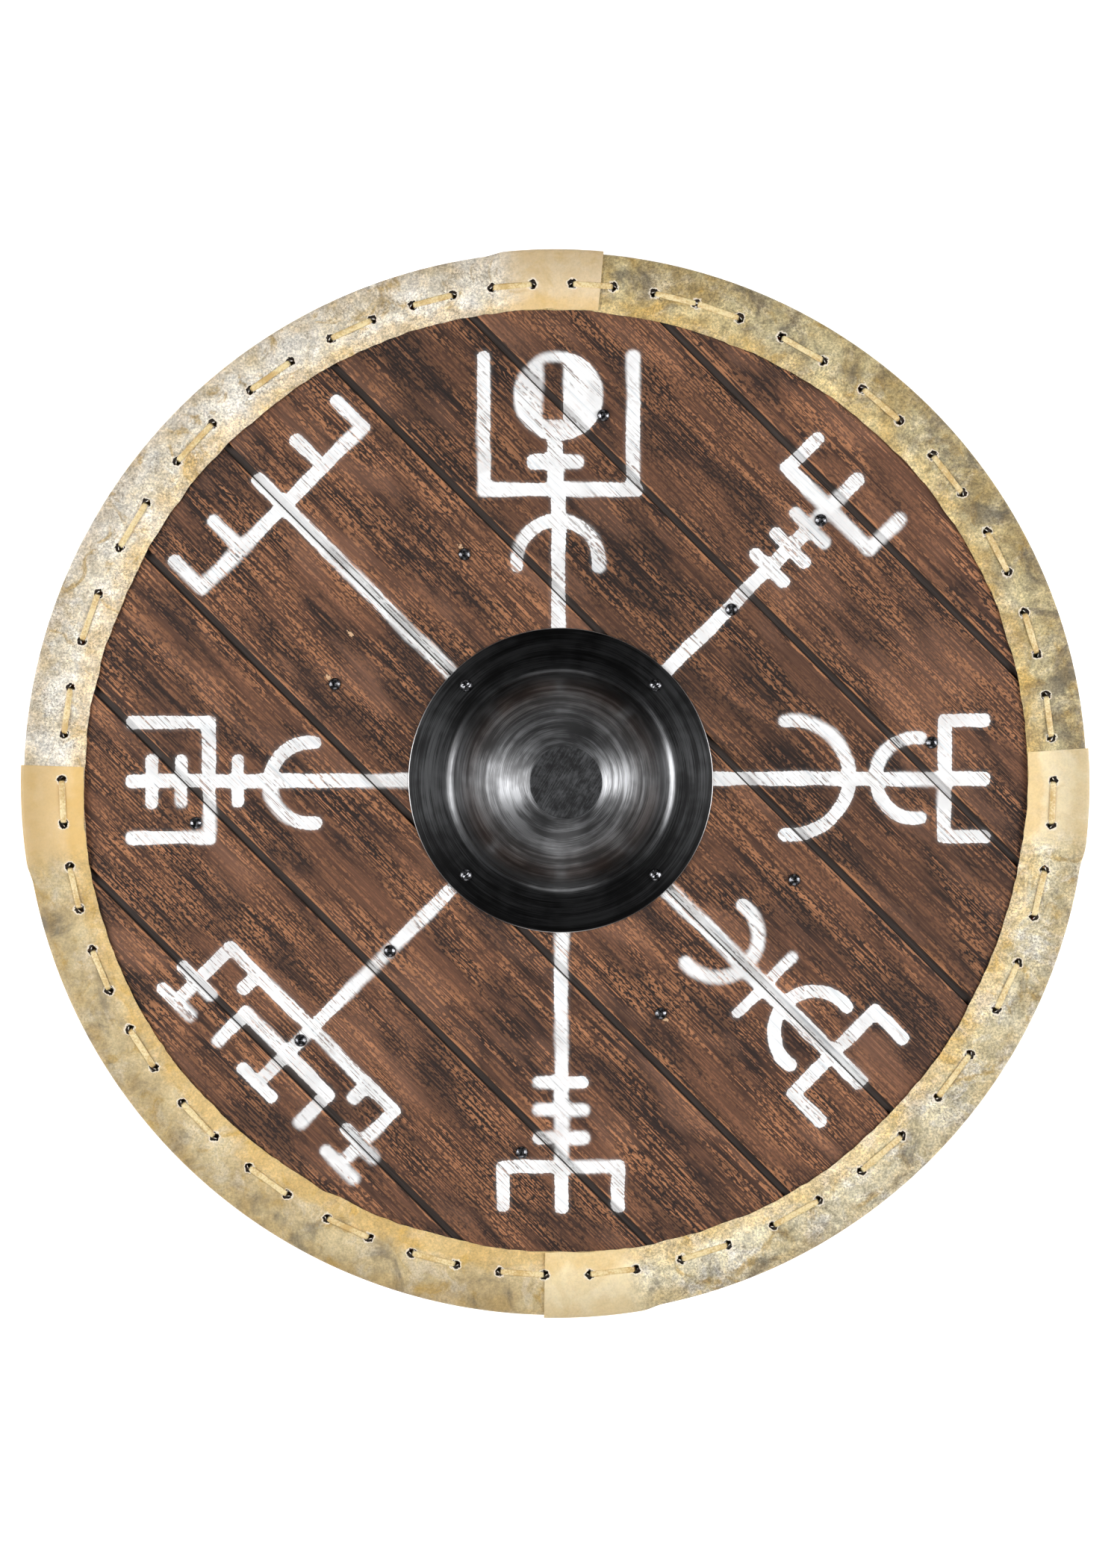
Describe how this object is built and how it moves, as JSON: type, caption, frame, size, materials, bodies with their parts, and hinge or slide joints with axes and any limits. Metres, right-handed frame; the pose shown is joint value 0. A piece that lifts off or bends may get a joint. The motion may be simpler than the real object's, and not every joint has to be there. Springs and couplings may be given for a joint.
{
  "type": "wooden round shield",
  "caption": "Round plank shield with a domed steel boss over the grip, a laced rawhide rim and a white painted compass-like figure.",
  "frame": {"origin": "centre of the grip batten's flat back face, on the boss's axis; the shield lies face up on this plane", "axes": "+Z out of the painted face along the boss's axis, +Y towards the top of the shield, +X to its right when seen from the front"},
  "size_m": [0.7536, 0.7536, 0.0963],
  "materials": {
    "painted_boards": "dark brown stained open-grain softwood boards with a white painted figure, worn along the grain",
    "batten_wood": "brown stained planed wood",
    "boss_steel": "blackened spun steel with fine turning marks",
    "screw_steel": "black oxide button-head screws",
    "rawhide": "dried rawhide, cream and tan with grey mottling",
    "lace_rawhide": "flat rawhide lace"
  },
  "bodies": {
    "root": {"board_1": "painted_boards", "board_2": "painted_boards", "board_3": "painted_boards", "board_4": "painted_boards", "board_5": "painted_boards", "board_6": "painted_boards", "board_7": "painted_boards", "board_8": "painted_boards", "upper_brace": "batten_wood", "grip": "batten_wood", "lower_brace": "batten_wood", "boss": "boss_steel", "boss_screw_1": "screw_steel", "boss_screw_2": "screw_steel", "boss_screw_3": "screw_steel", "boss_screw_4": "screw_steel", "batten_screw_1": "screw_steel", "batten_screw_2": "screw_steel", "batten_screw_3": "screw_steel", "batten_screw_4": "screw_steel", "batten_screw_5": "screw_steel", "batten_screw_6": "screw_steel", "batten_screw_7": "screw_steel", "batten_screw_8": "screw_steel", "batten_screw_9": "screw_steel", "batten_screw_10": "screw_steel", "batten_screw_11": "screw_steel", "batten_screw_12": "screw_steel", "rim_upper_right": "rawhide", "rim_lower_right": "rawhide", "rim_lower_left": "rawhide", "rim_upper_left": "rawhide", "lace": "lace_rawhide"}
  },
  "joints": []
}
